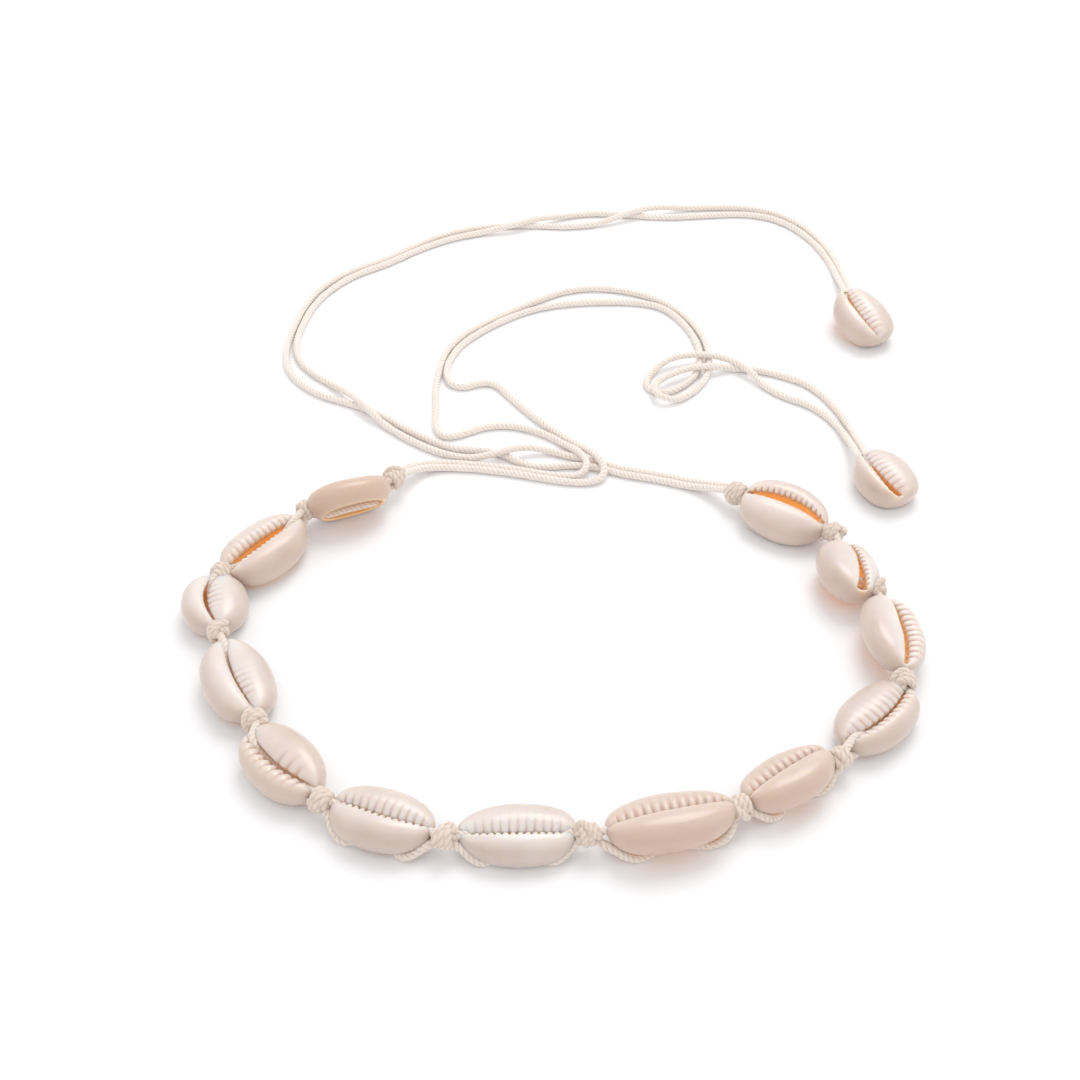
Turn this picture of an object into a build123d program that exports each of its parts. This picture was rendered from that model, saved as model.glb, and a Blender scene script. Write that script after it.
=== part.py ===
from build123d import *
import os
from collections import namedtuple
from math import atan2, cos, degrees, hypot, pi, radians, sin, sqrt, tan

# Cut cowrie shells are knotted in a row on doubled cotton cord. Two doubled tie cords run on from the
# two ends of the row and each carries a rounder shell. The choker lies on a table, mouths up.
# Millimetres, +Z up, table at Z = 0, +X to the wearer's right, +Y towards the ties.

# Cord
cord_diameter = 1.2
cord_gap = 0.14           # clearance round a strand where it is drilled through a shell or a knot
socket_depth = 0.8        # how far a strand goes into a knot

# Knots
knot_length = 3.2
knot_radius = 2.0
knot_groove = 0.4         # depth of the grooves between the turns of a knot
knot_turns = 3
knot_height = 4.3         # height of a knot's middle over the table
knot_seam = 40            # turn that keeps the knot's seam clear of the sockets, degrees
knot_gap = 0.14           # clearance between a knot and the shell end that it nests in

# Shell walls and mouth
side_wall = 1.25
roof_wall = 1.5
end_wall = 1.6
mouth_reach = 0.86        # share of half the length
mouth_gap = 1.05
mouth_bend = 0.55         # sideways sweep of the mouth at each end
mouth_dip = 0.5           # how far the two lips roll down into the mouth
tooth_pitch = 1.55
tooth_depth = 0.42
lip_share = 0.32          # where a lip is highest, as a share of the half width
rest_tolerance = 0.02     # how closely a shell's lowest point is found, mm

# Threads inside a shell, as shares of its length, width and height
thread_reach = 0.36
thread_level = 0.46
strand_reach = 0.43
strand_inner = 0.5        # sideways place of the back strand under the shell's middle, of its swing
strand_lead = 0.8         # least run along a shell between a knot and a strand's first bend, mm
strand_swing = 0.16
strand_rest = 0.65        # height of a strand that lies on the table, mm
front_rise = 0.52         # height of the front strand over the middle of a knot
back_drop = 0.88          # depth of the back strand under the middle of a knot

# Cross-sections of a whole cowrie from its narrow end to its broad end.
# along is a share of half the length, half_width of half the width; crest, waist and dome are
# shares of the height. The dome under the waist is ground off at the table.
Station = namedtuple("Station", "along half_width crest waist dome")
STATIONS = [
    Station(-1.00, 0.16, 0.70, 0.56, 0.12),
    Station(-0.92, 0.40, 0.79, 0.52, 0.28),
    Station(-0.72, 0.70, 0.90, 0.48, 0.48),
    Station(-0.35, 0.94, 0.98, 0.44, 0.64),
    Station(0.05, 1.00, 1.00, 0.43, 0.68),
    Station(0.45, 0.95, 0.98, 0.44, 0.66),
    Station(0.75, 0.76, 0.91, 0.47, 0.52),
    Station(0.93, 0.46, 0.81, 0.51, 0.32),
    Station(1.00, 0.20, 0.72, 0.55, 0.14),
]

# Route of the string: the middle of each knot, from the left tie round the front to the right tie
KNOTS = [
    (-32.3, 48.6), (-50.3, 38.5), (-65.3, 19.3), (-63.5, 2.6), (-53.3, -20.0),
    (-39.5, -38.5), (-17.9, -46.6), (6.6, -46.1), (33.2, -39.9), (52.1, -29.0),
    (66.8, -10.5), (64.8, 14.7), (58.8, 31.6), (40.1, 44.3),
]
left_exit = 63.0          # heading of the tie that leaves the first knot, degrees
right_exit = 138.0        # heading of the tie that leaves the last knot, degrees

# One row for each shell between two knots. tuck is how much longer it is than the space between the
# knots' faces; east and north move it off their middle; turn, roll and pitch are degrees, a
# positive roll lifts the side inside the loop; broad is 1 where the broad end is the later one;
# strand is 1 where the back strand swings inside the loop and -1 outside.
Shell = namedtuple("Shell", "width height tuck east north turn roll pitch broad strand")
SHELLS = [
    Shell(12.0, 6.2, 0.6, -0.1, -2.4, -3, 58, 3, 1, -1),
    Shell(13.8, 7.0, -0.8, 0.4, -1.9, 0, 4, 0, 1, 1),
    Shell(13.2, 6.3, 1.4, -1.0, 0.0, 4, -4, 0, -1, -1),
    Shell(13.4, 6.3, -1.3, 0.2, -0.7, 0, -7, 0, 1, -1),
    Shell(12.6, 6.4, -0.9, -0.8, -0.8, 6, 8, 0, -1, -1),
    Shell(12.5, 6.2, -0.9, 0.0, 0.5, 3, -4, 0, -1, -1),
    Shell(12.2, 5.9, -0.5, 0.2, 1.5, 0, 0, 0, 1, -1),
    Shell(13.0, 6.4, -1.1, 1.1, -0.3, -1, -20, 1, -1, -1),
    Shell(11.7, 5.9, 0.2, -0.3, 0.8, 3, -22, 1, -1, -1),
    Shell(12.8, 6.1, -1.2, 0.6, 1.2, -5, -4, 0, 1, -1),
    Shell(12.8, 6.2, -2.1, 0.5, -0.9, -6, 26, -5, 1, 1),
    Shell(12.8, 6.8, 1.4, -1.6, -4.0, -18, 20, -6, 1, -1),
    Shell(13.8, 6.9, -0.4, 0.0, -0.2, 1, -10, 2, 1, 1),
]

# The shell on the end of each tie; its cord end is the narrow one
EndShell = namedtuple("EndShell", "name length width height east north heading pitch")
END_SHELLS = [
    EndShell("end_shell_outer", 17.0, 12.8, 6.8, 75.9, 108.7, -65, -12),
    EndShell("end_shell_inner", 15.6, 12.6, 6.8, 72.3, 50.0, -66, -2),
]

# Routes of the four tie strands, from their knot to their end shell
TIES = {
    "tie_left_low": [
        (-31.3, 50.0, 4.2), (-28.7, 53.9, 2.6), (-24.1, 56.7, 0.8), (-15.5, 56.2, 0.65),
        (-6.5, 54.5, 0.65), (1.5, 52.3, 0.65), (7.5, 51.3, 0.65), (11.9, 52.3, 1.0),
        (12.7, 55.5, 2.15), (9.9, 60.3, 2.15), (6.5, 64.5, 0.7),
        (-0.3, 71.5, 0.65), (-4.8, 77.1, 0.65), (-8.7, 82.5, 0.65), (-11.4, 86.9, 0.65),
        (-15.1, 87.7, 0.65), (-19.1, 85.5, 0.65), (-22.5, 86.9, 0.65), (-23.4, 91.5, 0.65),
        (-22.4, 96.7, 0.65), (-19.7, 102.3, 0.65), (-14.9, 107.5, 0.65), (-8.9, 112.5, 0.65),
        (-2.1, 116.5, 0.65), (6.1, 119.5, 0.65), (14.9, 120.9, 0.65), (22.7, 120.7, 0.65),
        (28.1, 118.1, 0.65), (31.9, 113.1, 0.65), (34.8, 106.5, 0.65), (36.7, 99.1, 0.65),
        (35.5, 91.5, 0.65), (32.1, 86.7, 0.65), (27.9, 83.5, 0.65), (24.1, 84.3, 0.65),
        (22.8, 87.7, 0.65), (24.9, 92.1, 0.8), (29.1, 95.3, 2.1), (34.9, 96.9, 2.2),
        (41.1, 95.9, 2.2), (46.5, 91.9, 2.3), (50.3, 86.3, 0.7), (53.5, 80.5, 0.65),
        (58.1, 76.1, 0.65), (62.3, 70.7, 0.65), (65.1, 64.9, 1.3), (66.4, 59.3, 3.3),
        (67.5, 53.9, 5.0), (68.6, 51.1, 4.6),
    ],
    "tie_left_high": [
        (-32.6, 50.8, 4.2), (-29.9, 54.9, 2.6), (-24.4, 58.3, 0.8), (-15.5, 57.7, 0.65),
        (-6.5, 56.0, 0.65), (1.5, 53.9, 0.65), (7.1, 53.3, 1.0), (9.2, 56.1, 2.15),
        (7.1, 60.5, 2.15), (4.1, 64.5, 0.7), (0.7, 67.7, 0.65), (-3.7, 70.1, 0.65),
        (-9.1, 71.7, 0.65), (-14.3, 70.9, 0.65), (-19.1, 68.1, 0.65), (-22.9, 67.1, 0.65),
        (-25.1, 70.5, 0.65), (-25.1, 77.9, 0.65), (-25.7, 85.9, 0.65), (-25.0, 93.3, 0.65),
        (-23.8, 100.1, 0.65), (-20.4, 106.5, 0.65), (-15.2, 112.1, 0.65), (-9.0, 117.5, 0.65),
        (-2.4, 122.7, 0.65), (4.5, 126.2, 0.65), (11.5, 127.1, 0.65), (18.5, 126.1, 0.65),
        (24.8, 123.7, 0.65), (30.4, 119.4, 0.65), (34.8, 113.3, 0.65), (37.7, 105.9, 0.65),
        (38.7, 97.9, 0.65), (37.7, 90.3, 0.65), (34.3, 84.3, 0.65), (29.7, 80.5, 1.0),
        (25.7, 80.3, 2.15), (24.3, 84.3, 2.15), (27.9, 88.3, 2.1), (33.1, 91.3, 2.15),
        (39.3, 92.2, 2.1), (43.7, 93.2, 0.65), (49.5, 92.5, 0.65), (55.1, 90.3, 0.65),
        (60.1, 87.3, 0.65), (63.7, 82.5, 0.65), (66.3, 76.7, 0.65), (67.9, 70.5, 0.65),
        (68.8, 64.3, 1.9), (69.1, 58.9, 3.8), (69.0, 54.3, 5.2), (69.9, 51.5, 4.8),
    ],
    "tie_right_arch": [
        (39.3, 46.1, 4.2), (35.9, 49.1, 2.4), (31.5, 51.7, 0.7), (24.1, 54.3, 0.65),
        (17.1, 55.9, 0.65), (11.1, 58.5, 0.65), (5.9, 60.1, 0.65), (0.3, 62.5, 0.8),
        (-5.3, 62.1, 2.1), (-11.1, 59.9, 2.1), (-15.9, 59.6, 0.8),
        (-21.5, 60.8, 0.65), (-26.7, 63.5, 0.65), (-32.3, 67.7, 0.65), (-36.9, 72.1, 0.8),
        (-40.3, 75.5, 2.1), (-44.3, 80.7, 2.1), (-48.7, 86.1, 0.8), (-54.1, 90.9, 0.65),
        (-58.9, 96.5, 0.65), (-60.3, 103.9, 0.65), (-58.7, 112.5, 0.65), (-56.3, 120.3, 0.65),
        (-52.1, 127.5, 0.65), (-46.7, 133.3, 0.65), (-39.7, 137.9, 0.65), (-32.3, 143.9, 0.65),
        (-23.7, 148.7, 0.65), (-15.1, 151.7, 0.8), (-8.1, 154.7, 2.1), (-2.1, 157.7, 2.1),
        (4.5, 160.9, 0.8), (12.1, 162.7, 0.65), (20.3, 162.1, 0.65), (30.1, 160.5, 0.65),
        (40.9, 161.3, 0.65), (51.5, 162.5, 0.65), (59.1, 160.7, 0.65), (64.5, 156.3, 0.65),
        (68.7, 149.9, 0.65), (71.4, 142.9, 0.65), (72.9, 135.5, 0.65), (73.4, 128.3, 1.7),
        (73.1, 122.1, 4.2), (72.4, 116.3, 6.6), (72.9, 113.1, 6.4),
    ],
    "tie_right_flat": [
        (38.3, 44.9, 4.2), (34.9, 47.8, 2.4), (30.7, 50.2, 0.7), (23.5, 52.7, 0.65),
        (16.5, 54.3, 0.65), (10.7, 56.9, 0.65), (5.1, 57.5, 0.65), (-0.1, 56.7, 0.65),
        (-4.3, 57.3, 0.65), (-7.9, 59.9, 0.65), (-11.3, 62.1, 0.65),
        (-15.9, 62.8, 0.65), (-20.9, 63.2, 0.65), (-25.9, 66.1, 0.65), (-31.9, 70.5, 0.65),
        (-37.7, 75.7, 0.65), (-45.1, 79.7, 0.65), (-51.7, 82.5, 0.65), (-57.7, 86.5, 0.65),
        (-61.7, 92.5, 0.65), (-62.9, 100.9, 0.65), (-61.9, 109.9, 0.65), (-60.1, 118.5, 0.65),
        (-57.5, 126.1, 0.65), (-53.5, 132.3, 0.65), (-48.1, 136.3, 0.65), (-41.9, 139.9, 0.65),
        (-35.3, 145.1, 0.65), (-28.1, 151.9, 0.65), (-20.5, 155.3, 0.65), (-12.1, 156.5, 0.65),
        (-3.1, 156.5, 0.65), (5.7, 155.7, 0.65), (14.1, 157.1, 0.8), (21.3, 160.3, 2.1),
        (28.7, 163.5, 2.1), (36.5, 165.1, 0.8), (45.1, 165.7, 0.65), (53.9, 165.5, 0.65),
        (61.3, 163.3, 0.65), (67.1, 158.3, 0.65), (71.2, 151.1, 0.65), (73.9, 143.1, 0.65),
        (75.1, 135.1, 0.65), (75.2, 127.9, 1.7), (74.6, 121.5, 4.3), (73.7, 116.3, 6.6),
        (74.3, 113.1, 6.4),
    ],
}

cord_radius = cord_diameter / 2


def save(name, solids):
    """Write one piece, or a few loose ones, as a node of its own."""
    shape = solids[0] if len(solids) == 1 else Compound(children=solids)
    export_step(shape, os.path.join("parts", name + ".step"))


def cowrie_section(station, length, width, height, side, roof, end):
    """A closed section: the dome below, a shoulder on each side and the dip of the mouth on top."""
    half = station.half_width * (width / 2 - side)
    waist = station.waist * height
    full_rise = (STATIONS[4].crest - STATIONS[4].waist) * height
    rise = (station.crest - station.waist) * height * (full_rise - roof) / full_rise
    lip = lip_share * half
    crest = waist + rise
    dip = min(mouth_dip * station.half_width, rise / 2)
    dome = Edge.make_ellipse(half, station.dome * height, Plane(origin=(0, waist)), 180, 360)
    right = Edge.make_ellipse(half - lip, rise, Plane(origin=(lip, waist)), 0, 90)
    mouth = Edge.make_three_point_arc((lip, crest), (0, crest - dip), (-lip, crest))
    left = Edge.make_ellipse(half - lip, rise, Plane(origin=(-lip, waist)), 90, 180)
    across = Plane(origin=(station.along * (length / 2 - end), 0, 0), x_dir=(0, 1, 0), z_dir=(1, 0, 0))
    return across * Face(Wire([dome, right, mouth, left]))


def cowrie_body(length, width, height, side=0.0, roof=0.0, end=0.0):
    """A whole cowrie, or the hollow inside it where the walls are given."""
    sections = [cowrie_section(row, length, width, height, side, roof, end) for row in STATIONS]
    return Solid.make_loft([face.outer_wire() for face in sections])


def mouth_cut(length, height):
    """The toothed slot between the lips, as a prism through the roof."""
    reach = mouth_reach * length / 2
    teeth = max(3, round(2 * reach / tooth_pitch))
    inner, outer = [], []
    for step in range(2 * teeth + 1):
        along = -reach + step * reach / teeth
        middle = mouth_bend * sin(pi / 2 * along / reach)
        half = mouth_gap / 2 * (0.55 + 0.45 * cos(pi / 2 * along / reach))
        half += tooth_depth / 2 if step % 2 else -tooth_depth / 2
        inner.append((along, middle + half))
        outer.append((along, middle - half))
    outline = Face(Wire.make_polygon(inner + outer[::-1], close=True))
    level = STATIONS[4].waist * height
    return Pos(0, 0, level) * extrude(outline, height, dir=(0, 0, 1))


def cut_cowrie(length, width, height):
    """A cowrie with its dome ground off: open back on the table, hollow, toothed mouth on top."""
    shell = cowrie_body(length, width, height)
    shell = shell - cowrie_body(length, width, height, side_wall, roof_wall, end_wall)
    below = Pos(0, 0, -height) * Box(2 * length, 2 * width, 2 * height)
    return shell - below - mouth_cut(length, height)


def rounded_path(points):
    """Straight runs joined by tangent arcs, each as large as its two runs allow."""
    spots = [Vector(*point) for point in points]
    radii = []
    for before, here, after in zip(spots, spots[1:], spots[2:]):
        turn = (here - before).get_angle(after - here)
        shorter = min((here - before).length, (after - here).length)
        radii.append(0.45 * shorter / tan(radians(turn) / 2))
    return FilletPolyline(*spots, radius=radii), radii


def strand(points, radius=cord_radius):
    """A round strand along a rounded path."""
    path, radii = rounded_path(points)
    start = Plane(origin=path @ 0, z_dir=path % 0)
    return sweep(start * Circle(radius), path=path), path, radii


def drill(points):
    """The hole that a strand needs, with its clearance."""
    return strand(points, cord_radius + cord_gap)[0]


def heading(start, end):
    return degrees(atan2(end[1] - start[1], end[0] - start[0]))


def knot_body(extra=0.0):
    """A knot along X: a few turns of cord side by side."""
    turn = (knot_length + 2 * extra) / knot_turns
    left = -knot_length / 2 - extra
    core = knot_radius - knot_groove + extra
    top = knot_radius + extra
    edges = [Line((left, 0), (left, core))]
    for count in range(knot_turns):
        start = left + count * turn
        edges.append(ThreePointArc((start, core), (start + turn / 2, top), (start + turn, core)))
    edges += [Line((-left, core), (-left, 0)), Line((-left, 0), (left, 0))]
    return Rot(knot_seam, 0, 0) * revolve(make_face(edges), Axis.X)


def knot_seat():
    """The room that a knot takes up, with its gap."""
    body = Cylinder(knot_radius + knot_gap, knot_length + 2 * knot_gap)
    return Rot(0, 90, 0) * body


def knot_places():
    """Where each knot sits and the way it points, from the route."""
    ends = [left_exit - 180] + [None] * (len(KNOTS) - 2) + [right_exit]
    places = []
    for index, (east, north) in enumerate(KNOTS):
        before = KNOTS[max(index - 1, 0)]
        after = KNOTS[min(index + 1, len(KNOTS) - 1)]
        angle = heading(before, after)
        if ends[index] is not None:
            swing = (ends[index] - angle + 180) % 360 - 180
            angle += swing / 2
        places.append(Pos(east, north, knot_height) * Rot(0, 0, angle))
    return places


def lowest(shape):
    """The height of a shape's lowest point, from its own surface."""
    return min(point.Z for point in shape.tessellate(rest_tolerance)[0])


def row_shell(row, before, after):
    """A shell between two knots, with the place that its threads share."""
    spacing = hypot(after[0] - before[0], after[1] - before[1])
    length = spacing - knot_length + row.tuck
    middle = ((before[0] + after[0]) / 2 + row.east, (before[1] + after[1]) / 2 + row.north)
    spin = Rot(0, 0, heading(before, after) + row.turn)
    place = spin * Rot(row.roll, 0, 0) * Rot(0, -row.pitch, 0) * Pos(0, 0, -row.height / 2)
    flip = Rot(0, 0, 0 if row.broad > 0 else 180)
    shell = place * flip * cut_cowrie(length, row.width, row.height)
    rest = Pos(middle[0], middle[1], -lowest(shell))
    return rest * shell, rest * place, length


def thread_points(row, length, place, before, after):
    """The two strands through a shell: in front through the hollow, at the back under the rim."""
    spot = Vector(after[0] - before[0], after[1] - before[1]).normalized()
    entry = Vector(*before) + spot * (knot_length / 2 - socket_depth)
    leave = Vector(*after) - spot * (knot_length / 2 - socket_depth)

    def inside(along, across, level):
        return (place * Pos(along, across, level)).position

    def reaches(share):
        """How far along the shell a strand bends at each end, always short of its knots."""
        first, last = ((place.inverse() * Pos(*spot)).position.X for spot in (entry, leave))
        return max(-share * length, first + strand_lead), min(share * length, last - strand_lead)

    level = thread_level * row.height
    front_z = Vector(0, 0, knot_height + front_rise)
    start, end = reaches(thread_reach)
    front = [entry + front_z, inside(start, 0, level), inside(end, 0, level), leave + front_z]
    side = row.strand * strand_swing * row.width
    back_z = Vector(0, 0, knot_height - back_drop)
    start, end = reaches(strand_reach)
    back = [entry + back_z, inside(start, side, strand_rest),
            inside(0, side * strand_inner, strand_rest),
            inside(end, side, strand_rest), leave + back_z]
    return front, back


def end_shell(row):
    """The shell on a tie, drilled for the two strands that end in it."""
    place = Rot(0, 0, row.heading) * Rot(0, -row.pitch, 0) * Pos(0, 0, -row.height / 2)
    shell = place * cut_cowrie(row.length, row.width, row.height)
    return Pos(row.east, row.north, -lowest(shell)) * shell


os.makedirs("parts", exist_ok=True)

places = knot_places()
spans = list(zip(SHELLS, KNOTS, KNOTS[1:]))
row_shells = [row_shell(row, before, after) for row, before, after in spans]
routes = [
    thread_points(row, length, place, before, after)
    for (row, before, after), (shell, place, length) in zip(spans, row_shells)
]
holes = [[drill(front), drill(back)] for front, back in routes]
fronts = [strand(front)[0].solid() for front, back in routes]
backs = [strand(back)[0].solid() for front, back in routes]

for index, (shell, place, length) in enumerate(row_shells):
    for near in holes[max(index - 1, 0):index + 2]:
        for hole in near:
            shell = shell - hole
    for spot in (index, index + 1):
        shell = shell - places[spot] * knot_seat()
    main = max(shell.solids(), key=lambda piece: piece.volume)
    save(f"shell_{index + 1:02d}", [main])
    print(f"shell_{index + 1:02d} length {length:.1f} volume {main.volume:.0f} pieces {len(shell.solids())}")

save("thread_front", fronts)
save("thread_back", backs)

tie_drills = {}
for name, points in TIES.items():
    tie, path, radii = strand(points)
    ideal = pi * cord_radius ** 2 * path.length
    print(f"{name} length {path.length:.1f} volume ratio {tie.volume / ideal:.4f} "
          f"radii {min(radii):.1f} to {max(radii):.1f}")
    print("  radii", " ".join(f"{radius:.1f}" for radius in radii))
    tie_drills[name] = (drill(points[:3]), drill(points[-3:]))
    save(name, [tie.solid()])

left_holes = [tie_drills["tie_left_low"][0], tie_drills["tie_left_high"][0]]
right_holes = [tie_drills["tie_right_arch"][0], tie_drills["tie_right_flat"][0]]
knot_holes = [left_holes] + holes + [right_holes]
for index, place in enumerate(places):
    knot = place * knot_body()
    for hole in knot_holes[index] + knot_holes[index + 1]:
        knot = knot - hole
    save(f"knot_{index:02d}", [max(knot.solids(), key=lambda piece: piece.volume)])

end_ties = [("tie_right_arch", "tie_right_flat"), ("tie_left_low", "tie_left_high")]
for row, names in zip(END_SHELLS, end_ties):
    shell = end_shell(row)
    for name in names:
        shell = shell - tie_drills[name][1]
    main = max(shell.solids(), key=lambda piece: piece.volume)
    print(f"{row.name} volume {main.volume:.0f} pieces {len(shell.solids())}")
    save(row.name, [main])
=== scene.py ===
from collections import namedtuple
from math import atan2, cos, degrees, dist, exp, pi, radians, sin, tan

import bmesh
import bpy
from mathutils import Matrix, Vector, noise


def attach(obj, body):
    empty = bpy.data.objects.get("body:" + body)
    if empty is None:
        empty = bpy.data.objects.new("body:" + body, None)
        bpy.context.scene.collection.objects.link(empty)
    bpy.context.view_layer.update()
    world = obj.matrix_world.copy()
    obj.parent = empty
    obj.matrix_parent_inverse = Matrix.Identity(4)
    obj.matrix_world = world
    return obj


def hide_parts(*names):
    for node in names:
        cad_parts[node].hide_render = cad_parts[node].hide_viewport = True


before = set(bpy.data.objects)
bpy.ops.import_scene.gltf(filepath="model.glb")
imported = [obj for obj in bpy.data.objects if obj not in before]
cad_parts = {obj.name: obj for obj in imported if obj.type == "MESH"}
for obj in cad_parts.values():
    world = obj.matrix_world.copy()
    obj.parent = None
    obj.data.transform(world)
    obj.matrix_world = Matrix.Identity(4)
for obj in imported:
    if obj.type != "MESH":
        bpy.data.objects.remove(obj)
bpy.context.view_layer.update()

# A choker of cut cowries knotted on doubled cotton cord, with four tie strands and two end shells.
# Tables, routes and sizes are in millimetres, and a finished mesh is in metres.
MM = 0.001

# Cord
CORD_RADIUS = 0.8
LOW = CORD_RADIUS         # height of the middle of a strand that lies on the table
LAY_LENGTH = 2.9          # one full turn of the three plies
PLY_DEPTH = 0.15          # depth of the groove between two plies, as a share of the radius
PLY_ROUND = 0.7           # below 1, plies are full and the grooves between them narrow
SLUB = 0.09               # how much thicker and thinner the hand-twisted cord runs, of its radius
SLUB_RUN = 2.5            # over about this length
TWIST_WANDER = 0.3        # how far the lay runs ahead or behind, in turns
TWIST_RUN = 6             # over about this length
CORD_SIDES = 15
CORD_STEP = 0.26          # from one ring of the mesh to the next
THREAD_STEP = 0.3         # the same inside the shells
FIBRE_STRETCH = 0.12      # draws the fibres' pattern out into streaks along the plies
THREAD_SHADE = 0.3         # painted shade on the cord inside the shells, which shadow it
KNOT_DARKENING = 0.5           # how much darker the knots are coloured all over

# Knots
KNOT_LENGTH = 3.2         # the room that a knot takes up between two shells
KNOT_HEIGHT = 4.3         # height of its middle over the table
KNOT_WIND = 1.35          # from its axis to the middle of the wound strand
KNOT_TURNS = 2.6
KNOT_TUCK = 0.25          # from the end of a knot to its first turn
KNOT_BULGE = 0.2          # how much further out the middle turns lie
KNOT_LEAN = 2.4           # each knot is turned this much from the one before, radians

# The strand that crosses over a knot's turns
CROSSING_LOW = 0.9        # from the knot's axis to its two ends
CROSSING_RISE = 1.45      # how much further out its middle runs
CROSSING_ROUND = 0.6      # below 1, it is as far out for most of its way
CROSSING_PAST = 0.6       # how far past the turns it starts and ends
CROSSING_SPIN = 2.4       # how far round the knot it runs, radians
CROSSING_START = 1.2      # where it starts in the first knot
CROSSING_LEAN = 1.68      # and how much further on in each after that
CROSSING_THICK = 0.9      # its thickness, of the cord's

# Threads in a shell: from the socket in one knot to the socket in the next
SOCKET_DEPTH = 0.8        # how far a thread goes into a knot
FRONT_RISE = 0.52         # how far over the middle of a knot the front thread leaves it
BACK_DROP = 0.88          # how far under it the back thread does
THREAD_LEAD = 0.8         # least run from a knot to a thread's first bend
FRONT_REACH = 0.36        # from the middle of a shell to the front thread's bends, of its length
FRONT_LEVEL = 0.46        # how high the front thread runs in the hollow, of the shell's height
BACK_REACH = 0.43         # from the middle to the back thread's bends, of its length
BACK_SWING = 0.16         # how far to one side it bends there, of its width

# Shells whose front thread lies in the first part of the mouth, and where it dives into it: along the
# shell, as a share of its length, and up, of its height
LAID_IN_MOUTH = ("shell_02", "shell_03", "shell_04", "shell_05", "shell_10")
MOUTH_DIVE = ((-0.42, 0.76), (-0.34, 0.70), (-0.25, 0.50))

# Shells whose back thread goes round the outside of the rim, and its way round one half of it: along
# the shell, as a share of its length, then out, of the greatest, and how high
ROUND_THE_RIM = ("shell_06", "shell_07", "shell_08", "shell_09")
RIM_WAY = [(0.45, 0.6, 2.6), (0.37, 0.9, 1.4), (0.27, 1.0, LOW), (0.14, 0.6, LOW)]
RIM_MIDDLE = (0.0, 0.3, LOW)
HUG_LEVEL = 0.38          # how far out it goes at a level shell, as a share of the width
HUG_TILTED = 0.24         # and at a tilted one, whose rim it runs under
TILTED = 10               # the least roll of a tilted shell, degrees

# The middle of each knot, from the left tie round the front to the right tie
KNOTS = [
    (-32.3, 48.6), (-50.3, 38.5), (-65.3, 19.3), (-63.5, 2.6), (-53.3, -20.0),
    (-39.5, -38.5), (-17.9, -46.6), (6.6, -46.1), (33.2, -39.9), (52.1, -29.0),
    (66.8, -10.5), (64.8, 14.7), (58.8, 31.6), (40.1, 44.3),
]
LEFT_EXIT = 63.0          # heading of the ties that leave the first knot, degrees
RIGHT_EXIT = 138.0        # and of those that leave the last one

# The two lips of a mouth: crest is how far out a lip is highest, as a share of the way to the
# outline, and dip how far it rolls down into the slot. tooth is the depth of the teeth on the
# slot's edge. ridge and reach are the height and the spread of the folds that run out from it, pitch
# is their spacing, and they show from start to end along the lip.
Lip = namedtuple("Lip", "crest dip tooth ridge reach pitch start end")
SMOOTH = Lip(0.22, 0.55, 0.06, 0.03, 0.15, 1.4, -1.0, 1.0)
TOOTHED = Lip(0.22, 0.6, 0.46, 0.3, 0.11, 1.25, -0.95, 0.95)
FAINT = Lip(0.38, 1.0, 0.3, 0.14, 0.3, 1.45, -0.9, 0.9)
RIDGED = Lip(0.40, 1.1, 0.4, 0.4, 0.3, 1.55, -0.9, 0.9)
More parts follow.
